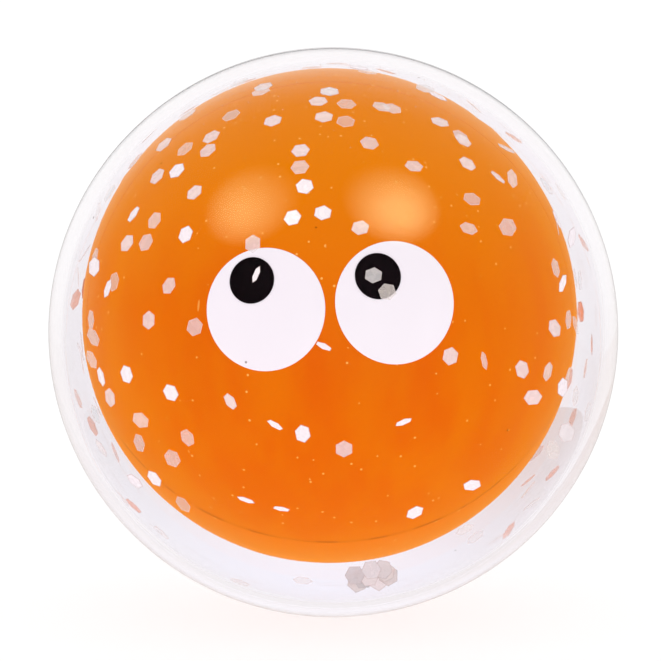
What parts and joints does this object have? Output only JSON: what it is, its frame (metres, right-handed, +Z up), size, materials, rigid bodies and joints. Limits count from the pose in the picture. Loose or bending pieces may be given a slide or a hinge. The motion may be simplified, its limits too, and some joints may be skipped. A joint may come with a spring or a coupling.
{
  "type": "bouncy ball",
  "caption": "Clear rubber bouncy ball with a sealed liquid core, loose hexagonal glitter and a ballasted floating orange ball with printed eyes.",
  "frame": {"origin": "centre of the clear outer ball", "axes": "+Z up, the eyes look towards -Y, +X to the right of someone facing the eyes"},
  "size_m": [0.065, 0.065, 0.065],
  "materials": {
    "clear_rubber": "clear, glossy, soft thermoplastic rubber",
    "plug_rubber": "clear, slightly milky soft rubber",
    "clear_liquid": "clear water-thin liquid",
    "pearl_flake": "pearlescent, slightly see-through film",
    "orange_plastic": "opaque orange plastic, satin",
    "eye_white": "printed white film",
    "eye_black": "printed black film",
    "ballast_steel": "plain turned steel"
  },
  "bodies": {
    "shell": {"front_shell_half": "clear_rubber", "rear_shell_half": "clear_rubber", "filler_plug": "plug_rubber"},
    "liquid": {"liquid_fill": "clear_liquid", "glitter_front": "pearl_flake", "glitter_left": "pearl_flake", "glitter_right": "pearl_flake", "glitter_back": "pearl_flake", "glitter_settled": "pearl_flake"},
    "crown_flakes": {"glitter_crown": "pearl_flake"},
    "side_flakes": {"glitter_sides": "pearl_flake"},
    "floating_ball": {"front_ball_half": "orange_plastic", "rear_ball_half": "orange_plastic", "ballast_slug": "ballast_steel", "left_eye": "eye_white", "right_eye": "eye_white", "left_pupil": "eye_black", "right_pupil": "eye_black"}
  },
  "joints": [
    {"name": "liquid_swirl", "type": "hinge", "parent": "shell", "child": "liquid", "pos_m": [0, 0, 0], "axis": [0, 0, 1], "continuous": true},
    {"name": "ball_float", "type": "slide", "parent": "liquid", "child": "crown_flakes", "axis": [0, 0, 1], "range_m": [-0.0029, 0], "stiffness_N_per_m": 10, "springref_m": 0.0394, "deforming": ["liquid_fill", "glitter_settled"]},
    {"name": "ball_pitch", "type": "hinge", "parent": "crown_flakes", "child": "side_flakes", "pos_m": [-0.00033, 0, 0.00146], "axis": [1, 0, 0], "continuous": true},
    {"name": "ball_roll", "type": "hinge", "parent": "side_flakes", "child": "floating_ball", "pos_m": [-0.00033, 0, 0.00146], "axis": [0, 1, 0], "continuous": true}
  ]
}
